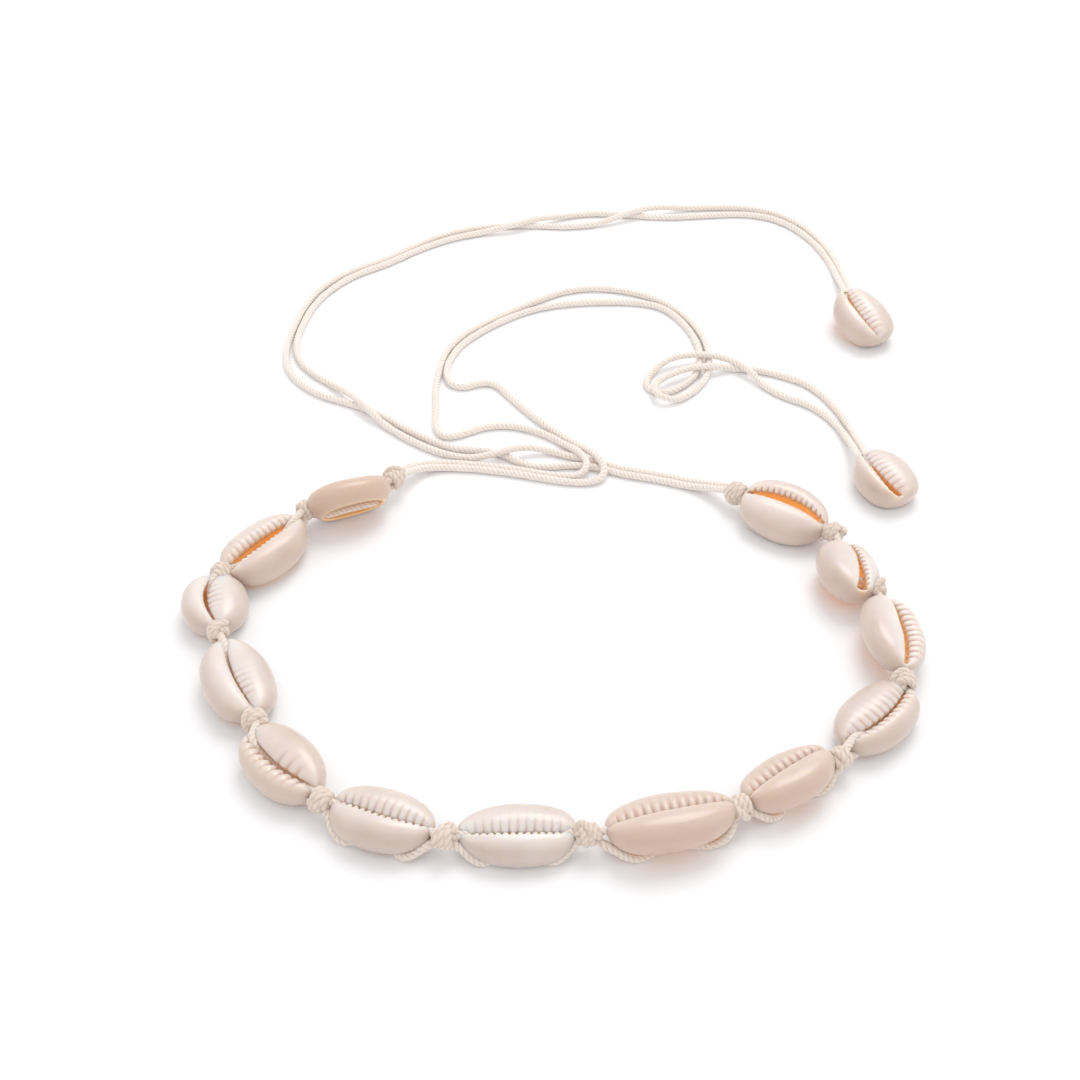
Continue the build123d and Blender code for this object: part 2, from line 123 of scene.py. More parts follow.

# One row for each cut cowrie. A row shell lies between two knots: east and north move it off their
# middle, turn is off the line from one to the other, and length is over the room between them. roll
# lifts the side inside the loop. turn, roll and pitch are degrees. broad is 1 where the broad end is
# the later one. mouth is how far the slot lies from the middle line at its start, middle and end,
# and gap its width there. inner and outer are the lips inside and outside the loop. strand is 1 where
# the back thread swings inside the loop and -1 outside. tone is how tan the shell is, and glow how
# strongly its inside is painted glowing and how orange its slot shows. level, the height of its
# middle, is worked out for each from its shape.
Cowrie = namedtuple(
    "Cowrie",
    "node east north turn roll pitch length width height broad mouth gap inner outer "
    "strand tone glow level",
    defaults=[0.0],
)
ROW_COWRIES = [
    Cowrie("shell_01", -0.1, -2.4, -3, 58, 3, 0.6, 12.0, 6.2, 1,
           (0.2, -0.3, 0.2), (0.5, 0.6, 0.5), SMOOTH, SMOOTH, -1, 0.75, 0.5),
    Cowrie("shell_02", 0.4, -1.9, 0, 4, 0, -0.8, 13.8, 7.0, 1,
           (0.1, 0.3, -0.2), (1.0, 2.7, 1.7), TOOTHED, FAINT, 1, 0.25, 1.0),
    Cowrie("shell_03", -1.0, 0.0, 4, -4, 0, 1.4, 13.2, 6.3, -1,
           (0.4, -1.7, 0.1), (0.9, 0.9, 0.5), FAINT._replace(start=-0.4, end=0.4), SMOOTH, -1, 0.0, 0.8),
    Cowrie("shell_04", 0.2, -0.7, 0, -7, 0, -1.3, 13.4, 6.3, 1,
           (0.3, -1.1, 0.2), (0.7, 0.6, 0.5), FAINT._replace(start=0.0, end=0.7), SMOOTH, -1, 0.0, 0.7),
    Cowrie("shell_05", -0.8, -0.8, 6, 8, 0, -0.9, 12.6, 6.4, -1,
           (-0.9, -1.6, 0.4), (1.1, 0.9, 0.5), FAINT._replace(start=-0.1, end=0.7, pitch=2.2),
           RIDGED._replace(ridge=0.26, reach=0.5, pitch=1.7), -1, 0.3, 0.9),
    Cowrie("shell_06", 0.0, 0.5, 3, -4, 0, -0.9, 12.5, 6.2, -1,
           (0.4, -1.0, -0.7), (0.6, 0.6, 0.4), FAINT._replace(ridge=0.2), TOOTHED, -1, 0.1, 0.35),
    Cowrie("shell_07", 0.2, 1.5, 0, 0, 0, -0.5, 12.2, 5.9, 1,
           (-1.2, -1.4, -1.2), (0.5, 0.6, 0.5), FAINT._replace(ridge=0.1), TOOTHED, -1, 0.0, 0.3),
    Cowrie("shell_08", 1.1, -0.3, -1, -20, 1, -1.1, 13.0, 6.4, -1,
           (-0.5, -0.7, 0.1), (0.3, 0.4, 0.4), RIDGED, SMOOTH, -1, 0.55, 1.0),
    Cowrie("shell_09", -0.3, 0.8, 3, -22, 1, 0.2, 11.7, 5.9, -1,
           (-0.8, -0.2, 0.5), (0.4, 0.3, 0.3), RIDGED, SMOOTH, -1, 0.55, 1.0),
    Cowrie("shell_10", 0.6, 1.2, -5, -4, 0, -1.2, 12.8, 6.1, 1,
           (-0.2, -2.2, -0.8), (0.9, 0.7, 0.5), FAINT._replace(reach=0.35, pitch=1.6),
           RIDGED._replace(ridge=0.24, reach=0.4, pitch=1.5), -1, 0.15, 0.6),
    Cowrie("shell_11", 0.5, -0.9, -6, 26, -5, -2.1, 12.8, 6.2, 1,
           (0.0, -0.9, -0.2), (1.0, 1.8, 0.8), SMOOTH,
           RIDGED._replace(ridge=0.3, reach=0.6, pitch=1.5), 1, 0.0, 1.0),
    Cowrie("shell_12", -1.6, -4.0, -18, 20, -6, 1.4, 12.8, 6.8, 1,
           (-0.6, -1.1, -0.9), (2.4, 1.0, 1.1), SMOOTH, TOOTHED, -1, 0.0, 1.0),
    Cowrie("shell_13", 0.0, -0.2, 1, -10, 2, -0.4, 13.8, 6.9, 1,
           (-0.1, -1.1, 0.1), (1.2, 2.2, 1.1), SMOOTH, TOOTHED, 1, 0.15, 1.0),
]

# The shell on the end of each pair of ties, with its own place, heading and length
END_COWRIES = [
    Cowrie("end_shell_outer", 75.9, 108.7, -65, 0, -12, 17.0, 12.8, 6.8, 1,
           (-1.2, -2.2, -1.6), (1.3, 0.8, 0.4), FAINT, SMOOTH, 1, 0.1, 0.9),
    Cowrie("end_shell_inner", 72.3, 50.0, -66, 0, -2, 15.6, 12.6, 6.8, 1,
           (-2.0, -2.4, -2.0), (1.0, 0.9, 2.0), FAINT, FAINT, 1, 0.15, 1.0),
]

# Routes of the four tie strands, from their knot to their end shell
TIES = {
    "tie_left_low": [
        (-31.3, 50.0, 4.2), (-28.7, 53.9, 2.6), (-24.1, 56.7, 0.9), (-15.5, 56.2, LOW),
        (-6.5, 54.5, LOW), (1.5, 52.3, LOW), (7.5, 51.3, LOW), (11.9, 52.3, 1.0),
        (12.7, 55.5, 2.3), (9.9, 60.3, 2.3), (6.5, 64.5, LOW), (-0.3, 71.5, LOW),
        (-4.8, 77.1, LOW), (-8.7, 82.5, LOW), (-11.4, 86.9, LOW), (-15.1, 87.7, LOW),
        (-19.1, 85.5, LOW), (-22.5, 86.9, LOW), (-23.6, 91.7, LOW), (-22.7, 97.0, LOW),
        (-20.3, 102.8, LOW), (-15.6, 108.3, LOW), (-9.6, 113.6, LOW), (-2.6, 118.0, LOW),
        (6.0, 120.3, LOW), (14.9, 120.9, LOW), (22.7, 120.7, LOW), (28.6, 118.6, LOW),
        (32.6, 113.3, LOW), (35.4, 106.6, LOW), (36.7, 99.1, LOW), (35.5, 91.5, LOW),
        (32.1, 86.7, LOW), (27.9, 83.5, LOW), (24.1, 84.3, LOW), (22.8, 87.7, LOW),
        (24.9, 92.1, 0.9), (29.1, 95.3, 2.3), (34.9, 96.9, 2.3), (41.1, 95.9, 2.3),
        (46.5, 91.9, 2.3), (50.3, 86.3, LOW), (54.2, 82.3, LOW), (60.0, 79.2, LOW),
        (64.6, 73.4, LOW), (66.7, 66.5, 1.4), (67.2, 60.0, 3.4), (67.5, 53.9, 5.0),
        (68.6, 51.1, 4.6),
    ],
    "tie_left_high": [
        (-32.6, 50.8, 4.2), (-29.9, 54.9, 2.6), (-24.4, 58.3, 0.9), (-15.5, 57.7, LOW),
        (-6.5, 56.0, LOW), (1.5, 53.9, LOW), (7.1, 53.3, 1.0), (9.2, 56.1, 2.3),
        (7.1, 60.5, 2.3), (4.1, 64.5, LOW), (0.7, 67.7, LOW), (-3.7, 70.1, LOW),
        (-9.1, 71.7, LOW), (-14.3, 70.9, LOW), (-19.1, 68.1, LOW), (-22.9, 67.1, LOW),
        (-25.1, 70.5, LOW), (-25.1, 77.9, LOW), (-25.7, 85.9, LOW), (-25.0, 93.3, LOW),
        (-23.8, 100.1, LOW), (-20.3, 106.2, LOW), (-15.0, 111.5, LOW), (-8.9, 116.3, LOW),
        (-2.4, 121.3, LOW), (4.4, 125.6, LOW), (11.5, 127.1, LOW), (18.5, 126.1, LOW),
        (24.8, 123.7, LOW), (30.4, 119.4, LOW), (34.8, 113.3, LOW), (37.7, 105.9, LOW),
        (38.7, 97.9, LOW), (37.7, 90.3, LOW), (34.3, 84.3, LOW), (29.7, 80.5, 1.0),
        (25.7, 80.3, 2.3), (24.3, 84.3, 2.3), (27.9, 88.3, 2.3), (33.1, 91.3, 2.3),
        (39.3, 92.2, 2.3), (43.7, 93.2, LOW), (49.5, 92.5, LOW), (55.1, 90.3, LOW),
        (60.1, 87.3, LOW), (63.7, 82.5, LOW), (66.3, 76.7, LOW), (67.9, 70.5, LOW),
        (68.8, 64.3, 1.9), (69.1, 58.9, 3.8), (69.0, 54.3, 5.2), (69.9, 51.5, 4.8),
    ],
    "tie_right_arch": [
        (39.3, 46.1, 4.2), (35.9, 49.1, 2.4), (31.5, 51.7, LOW), (24.1, 54.3, LOW),
        (17.1, 55.9, LOW), (11.1, 58.5, LOW), (5.9, 60.1, LOW), (0.3, 62.5, 0.9),
        (-5.3, 62.1, 2.3), (-11.1, 59.9, 2.3), (-15.9, 59.6, 0.9), (-21.5, 60.8, LOW),
        (-26.7, 63.5, LOW), (-32.3, 67.7, LOW), (-36.9, 72.1, 0.9), (-40.3, 75.5, 2.3),
        (-44.3, 80.7, 2.3), (-48.7, 86.1, 0.9), (-54.3, 90.6, LOW), (-58.7, 96.6, LOW),
        (-59.9, 103.9, LOW), (-58.8, 112.6, LOW), (-56.8, 120.6, LOW), (-53.0, 127.4, LOW),
        (-47.8, 133.3, LOW), (-40.2, 138.1, LOW), (-33.0, 144.7, LOW), (-24.3, 150.4, LOW),
        (-15.6, 153.2, 0.9), (-8.1, 154.7, 2.3), (-2.1, 157.7, 2.3), (4.5, 160.9, 0.9),
        (12.1, 162.7, LOW), (20.3, 162.1, LOW), (30.1, 160.5, LOW), (40.9, 161.3, LOW),
        (51.5, 162.5, LOW), (59.1, 160.7, LOW), (64.5, 156.3, LOW), (68.7, 149.9, LOW),
        (71.4, 142.9, LOW), (72.9, 135.5, LOW), (73.4, 128.3, 1.7), (73.1, 122.1, 4.2),
        (72.4, 116.3, 6.6), (72.9, 113.1, 6.4),
    ],
    "tie_right_flat": [
        (38.3, 44.9, 4.2), (34.9, 47.8, 2.4), (30.7, 50.2, LOW), (23.5, 52.7, LOW),
        (16.5, 54.3, LOW), (10.7, 56.9, LOW), (5.1, 57.5, LOW), (-0.1, 56.7, LOW),
        (-4.3, 57.3, LOW), (-7.9, 59.9, LOW), (-11.3, 62.1, LOW), (-15.9, 62.8, LOW),
        (-20.9, 63.2, LOW), (-25.9, 66.1, LOW), (-31.9, 70.5, LOW), (-37.7, 75.7, LOW),
        (-45.1, 79.7, LOW), (-51.7, 82.5, LOW), (-57.0, 87.0, LOW), (-60.9, 92.9, LOW),
        (-62.0, 101.0, LOW), (-61.0, 110.2, LOW), (-59.3, 118.9, LOW), (-56.6, 126.0, LOW),
        (-52.4, 131.6, LOW), (-47.4, 135.9, LOW), (-41.2, 139.6, LOW), (-35.3, 145.1, LOW),
        (-27.8, 151.2, LOW), (-20.3, 154.6, LOW), (-12.1, 156.5, LOW), (-3.1, 156.5, LOW),
        (5.7, 155.7, LOW), (14.1, 157.1, 0.9), (21.3, 160.3, 2.3), (28.7, 163.5, 2.3),
        (36.5, 165.1, 0.9), (45.1, 165.7, LOW), (53.9, 165.5, LOW), (61.1, 162.6, LOW),
        (66.5, 157.5, LOW), (70.5, 150.5, LOW), (73.2, 142.7, LOW), (74.5, 135.2, LOW),
        (75.0, 128.0, 1.7), (74.6, 121.5, 4.3), (73.7, 116.3, 6.6), (74.3, 113.1, 6.4),
    ],
}

# The body of a cowrie
RING_SPOTS = 320          # points round the mouth
BROAD_SWELL = 0.25        # how much fuller the broad end is
END_TOP = 0.70            # height of the lips at the tips, as a share of the middle's
END_WAIST = 0.56          # height of the widest line at the tips, of the shell's height
WAIST_DIP = 0.13          # how much lower it runs in the middle
END_DIP = 0.35            # how far the lips still roll in at the tips
FLANK_ROUND = 0.92        # below 1, the flank is fuller than an ellipse
UNEVEN = 0.2              # height of the shell's own unevenness
UNEVEN_RUN = 6.25         # and its width

# The mouth. A width here is a share of the middle's, so 0 is a tip.
MOUTH_REACH = 0.93        # the slot's length, of the shell's
LEAST_GAP = 0.08          # least half width of the slot
SLOT_TIP = 0.16           # width from which the slot is fully open
SLOT_ROUND = 0.6          # below 1, its ends are round
SLOT_STRAIGHTEN = 0.35    # how far it swings back to the middle line at the tips
TOOTH_SHIFT = 0.6         # shifts the teeth of the two lips against each other
TOOTH_MIDDLE = 0.6        # the part of a tooth's depth that is cut into the lip; the rest stands out
TOOTH_TIPS = (0.1, 0.4)   # widths over which teeth and folds grow to full size
FOLD_ROUND = 0.7          # below 1, folds are broad and the grooves between them narrow
FOLD_MIDDLE = 0.75        # the part of a fold's height that its grooves are sunk
FOLD_FADE = 0.1           # share of half the length over which folds start and end
CREST_TIP = 0.34          # width from which a lip has its full height
EDGE_TIP = 0.5            # and from which its edge does
GROOVE_NARROW = 1.5       # above 1, only the bottom of a groove gets its tint and painted shade
RIDGE_TINT_AND_SHADE = 2.5         # how strongly the grooves between high folds are tinted and given painted shade
FLANK_START = 0.3         # how far out from the slot the lip's cream starts to turn beige

# The ground back and the walls
UNDER_LEAN = radians(52)  # how far the flank curls in under the waist
RIM_LENGTH = 0.80         # the cut rim's length and width, of the outline's
RIM_WIDTH = 0.775
RIM_THICK = 0.9
RIM_END = 1.1             # how much thicker the rim is at its ends
SIDE_WALL = 1.25
END_WALL = 1.5
ROOF_WALL = 1.5
ROOF_LIFT = 0.6           # the roof is a wall under the crest, or under this much over the lip's edge
ROOF_REACH = 0.8          # how far the roof curves over, of a quarter turn
ROOF_START = 0.1          # where it meets the throat, of the way out from the slot
ROOF_ROUND = 1.2          # above 1, it comes nearer to the slot before it curves down
THROAT_SPREAD = 0.02      # how far the throat lies behind the slot's edge, of the way to the outline
THROAT_DEPTH = 1.1        # how far under the lip's edge the throat starts
THROAT_RISE = 0.75        # and how far it climbs on its way to the edge

# How brightly the inside is painted glowing, for the light that soaks through, near the cut rim and deep in
# it
RIM_GLOW = 0.7
DEEP_GLOW = 0.12

# The rings of a cowrie, from the mouth's edge over the lip, down the flank, under the rim, up the
# inside and back to the mouth. share runs from 0 to 1 over each zone, and inside is how orange it is.
Ring = namedtuple("Ring", "zone share inside")
RINGS = (
    [Ring("lip", share, 0.0) for share in (0.0, 0.12, 0.26, 0.42, 0.6, 0.8)]
    + [Ring("flank", step / 12, 0.0) for step in range(13)]
    + [Ring("under", step / 6, 0.0) for step in range(1, 7)]
    + [Ring("rim", 0.5, 0.6), Ring("rim", 1.0, 0.9)]
    + [Ring("inner", step / 4, 1.0) for step in range(1, 5)]
    + [Ring("roof", step / 4, 1.0) for step in range(1, 5)]
    + [Ring("throat", 0.0, 1.0), Ring("throat", 0.5, 0.8)]
)

# Stage and camera, in metres
TABLE_REACH = 3.0         # from the table's middle to its edge
LAMP_SPOT = (0.2, 0.6, 1.0)
LAMP_AIM = (0, 0.04, 0)
LAMP_SIZE = 0.7
LAMP_POWER = 4
STUDIO_LIGHT = 0.91
VIEW_TILT = radians(42)   # how far down the camera looks
VIEW_HALF = radians(18)   # half its angle of view
VIEW_AIM = (-0.0015, 0.0339)
VIEW_REACH = 0.3462       # from the camera to the spot on the table that it looks at


def srgb(code):
    """A colour from its sRGB hex code, in linear light."""
    channels = [int(code[i:i + 2], 16) / 255 for i in (0, 2, 4)]
    linear = [c / 12.92 if c <= 0.04045 else ((c + 0.055) / 1.055) ** 2.4 for c in channels]
    return (*linear, 1.0)


def smooth(low, high, value):
    """0 below low, 1 above high and an even curve between."""
    share = min(max((value - low) / (high - low), 0.0), 1.0)
    return share * share * (3 - 2 * share)


def add_piece(bm, name, material):
    """Turn a finished bmesh into an object of one material."""
    mesh = bpy.data.meshes.new(name)
    bm.to_mesh(mesh)
    bm.free()
    mesh.materials.append(material)
    piece = bpy.data.objects.new(name, mesh)
    bpy.context.scene.collection.objects.link(piece)
    return piece


def finish_piece(bm, node, material):
    """A smooth piece that rides on the choker and stands for a CAD node."""
    bmesh.ops.recalc_face_normals(bm, faces=bm.faces)
    for face in bm.faces:
        face.smooth = True
    piece = add_piece(bm, node + "_look", material)
    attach(piece, "root")
    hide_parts(node)
    return piece


# Materials


def add(tree, kind, settings):
    """Add a node. Each setting is a property or a socket, and a socket is linked to a given output."""
    node = tree.nodes.new(kind)
    for key, value in settings.items():
        if isinstance(key, str) and key not in node.inputs:
            setattr(node, key, value)
        elif isinstance(value, bpy.types.NodeSocket):
            tree.links.new(value, node.inputs[key])
        else:
            node.inputs[key].default_value = value
    return node


def new_material(name):
    """An empty material, its nodes and its shader."""
    material = bpy.data.materials.new(name)
    material.use_nodes = True
    tree = material.node_tree
    tree.nodes.clear()
    shader = add(tree, "ShaderNodeBsdfPrincipled", {})
    add(tree, "ShaderNodeOutputMaterial", {"Surface": shader.outputs["BSDF"]})
    return material, tree, shader


def polished_cowrie():
    """Cowrie shell, naturally glossy enamel over chalky layers: creamy lips that let light glow through
    them, beige flanks, and an orange inside that warms the gaps between the teeth. The inside's glow is
    painted, as is part of the shade in the grooves."""
    material, tree, shader = new_material("polished_cowrie_shell")
    place = add(tree, "ShaderNodeTexCoord", {}).outputs["Object"]
    # clouds of beige some 9 mm across
    cloud = add(tree, "ShaderNodeTexNoise", {"Scale": 1 / (9 * MM), "Detail": 4.0, "Vector": place})
    cloudy = add(tree, "ShaderNodeMapRange", {"From Min": 0.35, "From Max": 0.7, "Value": cloud.outputs[0]})
    shades = (srgb("EBE3DF"), srgb("E1D6D0")), (srgb("D7CAC1"), srgb("CCBBB0"))
    creamy, beige = [
        add(tree, "ShaderNodeMix", {"data_type": "RGBA", 0: cloudy.outputs[0], 6: pale, 7: deep})
        for pale, deep in shades
    ]
    # the lips are creamy; each layer over them shows as far as its attribute says. The groove layer is
    # partly the shell's own tint and partly painted shade between the folds and teeth.
    colour = creamy.outputs[2]
    layers = (
        ("flank", beige.outputs[2]), ("tan", srgb("D3B8A6")),
        ("groove", srgb("C4A18A")), ("inside", srgb("E6BE92")),
    )
    for name, layer in layers:
        share = add(tree, "ShaderNodeAttribute", {"attribute_name": name}).outputs["Fac"]
        over = add(tree, "ShaderNodeMix", {"data_type": "RGBA", 0: share, 6: colour, 7: layer})
        colour = over.outputs[2]
    tree.links.new(colour, shader.inputs["Base Color"])
    # painted glow: emission stands in for the light that soaks through the thin walls and leaves the orange
    # inside glowing
    share = add(tree, "ShaderNodeAttribute", {"attribute_name": "glow"}).outputs["Fac"]
    dark, amber = srgb("000000"), srgb("F2A650")
    glow = add(tree, "ShaderNodeMix", {"data_type": "RGBA", 0: share, 6: dark, 7: amber})
    tree.links.new(glow.outputs[2], shader.inputs["Emission Color"])
    shader.inputs["Emission Strength"].default_value = 0.6
    # faint growth unevenness just under a millimetre wide
    grain = add(tree, "ShaderNodeTexNoise", {"Scale": 1 / (0.9 * MM), "Detail": 2.0, "Vector": place})
    bump = add(tree, "ShaderNodeBump", {"Strength": 0.12, "Distance": 0.1 * MM, "Height": grain.outputs[0]})
    tree.links.new(bump.outputs[0], shader.inputs["Normal"])
    shader.inputs["Roughness"].default_value = 0.28
    shader.inputs["IOR"].default_value = 1.53
    shader.inputs["Subsurface Weight"].default_value = 0.9
    shader.inputs["Subsurface Radius"].default_value = (1.0, 0.66, 0.3)
    shader.inputs["Subsurface Scale"].default_value = 2.4 * MM
    shader.inputs["Coat Weight"].default_value = 0.35
    shader.inputs["Coat Roughness"].default_value = 0.2
    return material


def twisted_cotton():
    """Unbleached cotton cord, three plies laid together: matt, off white and a little hairy."""
    material, tree, shader = new_material("twisted_cotton_cord")
    lay = add(tree, "ShaderNodeAttribute", {"attribute_name": "lay"}).outputs["Vector"]
    # fibre streaks along each ply, a tenth of a millimetre wide
    fibre = add(tree, "ShaderNodeTexNoise", {"Scale": 7.0, "Detail": 3.0, "Vector": lay}).outputs[0]
    # the first two colours are the fibres' own; the third is painted shade for the grooves between the
    # plies, and it also darkens the threads inside the shells and the knots
    pale, deep, groove_shade = srgb("FCF5EE"), srgb("F3E7DD"), srgb("D9C3B2")
    plies = add(tree, "ShaderNodeMix", {"data_type": "RGBA", 0: fibre, 6: pale, 7: deep}).outputs[2]
    share = add(tree, "ShaderNodeAttribute", {"attribute_name": "groove"}).outputs["Fac"]
    colour = add(tree, "ShaderNodeMix", {"data_type": "RGBA", 0: share, 6: plies, 7: groove_shade})
    tree.links.new(colour.outputs[2], shader.inputs["Base Color"])
    bump = add(tree, "ShaderNodeBump", {"Strength": 0.4, "Distance": 0.12 * MM, "Height": fibre})
    tree.links.new(bump.outputs[0], shader.inputs["Normal"])
    shader.inputs["Roughness"].default_value = 0.9
    shader.inputs["Sheen Weight"].default_value = 0.3
    shader.inputs["Subsurface Weight"].default_value = 0.15
    shader.inputs["Subsurface Radius"].default_value = (1.0, 0.8, 0.6)
    shader.inputs["Subsurface Scale"].default_value = 0.5 * MM
    return material


def matt_laminate():
    """White laminate of the table: matt and even, so that only the soft shadows show on it."""
    material, tree, shader = new_material("matt_white_laminate")
    shader.inputs["Base Color"].default_value = srgb("FAFAFC")
    shader.inputs["Roughness"].default_value = 0.6
    return material


SHELL = polished_cowrie()
COTTON = twisted_cotton()


# Rings drawn out one from the next, for shells and cords


def first_ring(bm, spots):
    """A circle's points and edges, in order."""
    ring = bmesh.ops.create_circle(bm, segments=spots, radius=1.0)["verts"]
    return ring, list(dict.fromkeys(edge for vert in ring for edge in vert.link_edges))


def next_ring(bm, ring, edges):
    """Extrude a ring, and give the new one in the same order, with its edges."""
    made = bmesh.ops.extrude_edge_only(bm, edges=edges)["geom"]
    fresh = [item for item in made if isinstance(item, bmesh.types.BMVert)]
    known = set(ring)
    rising = {}
    for vert in fresh:
        for edge in vert.link_edges:
            if edge.other_vert(vert) in known:
                rising[edge.other_vert(vert)] = vert
    edges = [item for item in made if isinstance(item, bmesh.types.BMEdge)]
    return [rising[vert] for vert in ring], edges


# Cords


def spline_points(name, route):
    """Points along the smooth line of a route, from its own NURBS spline, in metres."""
    data = bpy.data.curves.new(name, "CURVE")
    data.dimensions = "3D"
    spline = data.splines.new("NURBS")
    spline.points.add(len(route) - 1)
    for point, spot in zip(spline.points, route):
        point.co = (*[value * MM for value in spot], 1.0)
    spline.order_u = 3
    spline.use_endpoint_u = True
    spline.resolution_u = 10
    line = bpy.data.objects.new(name, data)
    bpy.context.scene.collection.objects.link(line)
    mesh = bpy.data.meshes.new_from_object(line)
    points = [vertex.co.copy() for vertex in mesh.vertices]
    bpy.data.objects.remove(line)
    bpy.data.curves.remove(data)
    bpy.data.meshes.remove(mesh)
    return points


def even_points(points, step):
    """The same line with its points a step apart."""
    spots, walked = [points[0]], 0.0
    for start, end in zip(points, points[1:]):
        length = (end - start).length
        while walked + length >= step:
            share = (step - walked) / length
            start = start.lerp(end, share)
            length = (end - start).length
            spots.append(start)
            walked = 0.0
        walked += length
    if (spots[-1] - points[-1]).length > step / 3:
        spots.append(points[-1])
    return spots


def lay_cord(bm, points, radius, phase=0.0, darkening=0.0):
    """Lay a three-ply cord along a line, in metres. phase turns its plies, and darkening, from 0 to 1,
    colours all of it as dark as the painted shade in the grooves between them."""
    lay = bm.verts.layers.float_vector.get("lay") or bm.verts.layers.float_vector.new("lay")
    groove = bm.verts.layers.float.get("groove") or bm.verts.layers.float.new("groove")
    ring, edges = first_ring(bm, CORD_SIDES)
    start = edges
    normal = (points[1] - points[0]).orthogonal().normalized()
    walked = 0.0
    for count, spot in enumerate(points):
        ahead = points[min(count + 1, len(points) - 1)] - points[max(count - 1, 0)]
        ahead.normalize()
        normal = (normal - ahead * normal.dot(ahead)).normalized()
        across = ahead.cross(normal)
        if count:
            walked += (spot - points[count - 1]).length
            ring, edges = next_ring(bm, ring, edges)
        slub = 1 + SLUB * noise.noise(spot / (SLUB_RUN * MM))
        turns = walked / (LAY_LENGTH * MM) + TWIST_WANDER * noise.noise(spot / (TWIST_RUN * MM))
        twist = 2 * pi * turns + phase
        for index, vert in enumerate(ring):
            angle = 2 * pi * index / CORD_SIDES
            # half waves that meet at three grooves round the cord
            ply = abs(cos(1.5 * (angle - twist))) ** PLY_ROUND
            out = radius * (1 - PLY_DEPTH + PLY_DEPTH * ply) * slub
            vert.co = spot + (normal * cos(angle) + across * sin(angle)) * out
            # painted shade in the grooves between the plies, with the given darkening added all over
            vert[groove] = (1 - ply) ** 2 + darkening
            vert[lay] = (cos(angle - twist), sin(angle - twist), walked / MM * FIBRE_STRETCH)
    bmesh.ops.contextual_create(bm, geom=start)
    bmesh.ops.contextual_create(bm, geom=edges)


# Cowries


def turned(angle, axis):
    """A turn by an angle in degrees."""
    return Matrix.Rotation(radians(angle), 4, axis)


def heading(start, end):
    return atan2(end[1] - start[1], end[0] - start[0])


def cowrie_place(form):
    """From a cowrie's own frame, with its cut back at Z = 0, to the choker's."""
    lift = Matrix.Translation((form.east, form.north, form.level))
    spin = turned(form.turn, "Z") @ turned(form.roll, "X") @ turned(-form.pitch, "Y")
    return lift @ spin @ Matrix.Translation((0, 0, -form.height / 2))


def through_three(values, along):
    """A curve through three values at -1, 0 and 1."""
    start, middle, end = values
    return middle + (end - start) / 2 * along + ((start + end) / 2 - middle) * along * along


def folds(distance, lip, along):
    """Rounded folds with narrow grooves between them: 1 on a fold, 0 in a groove, and where they show."""
    fold = abs(cos(pi * distance / lip.pitch)) ** FOLD_ROUND
    started = smooth(lip.start - FOLD_FADE, lip.start + FOLD_FADE, along)
    ended = smooth(lip.end - FOLD_FADE, lip.end + FOLD_FADE, along)
    return fold, started * (1 - ended)


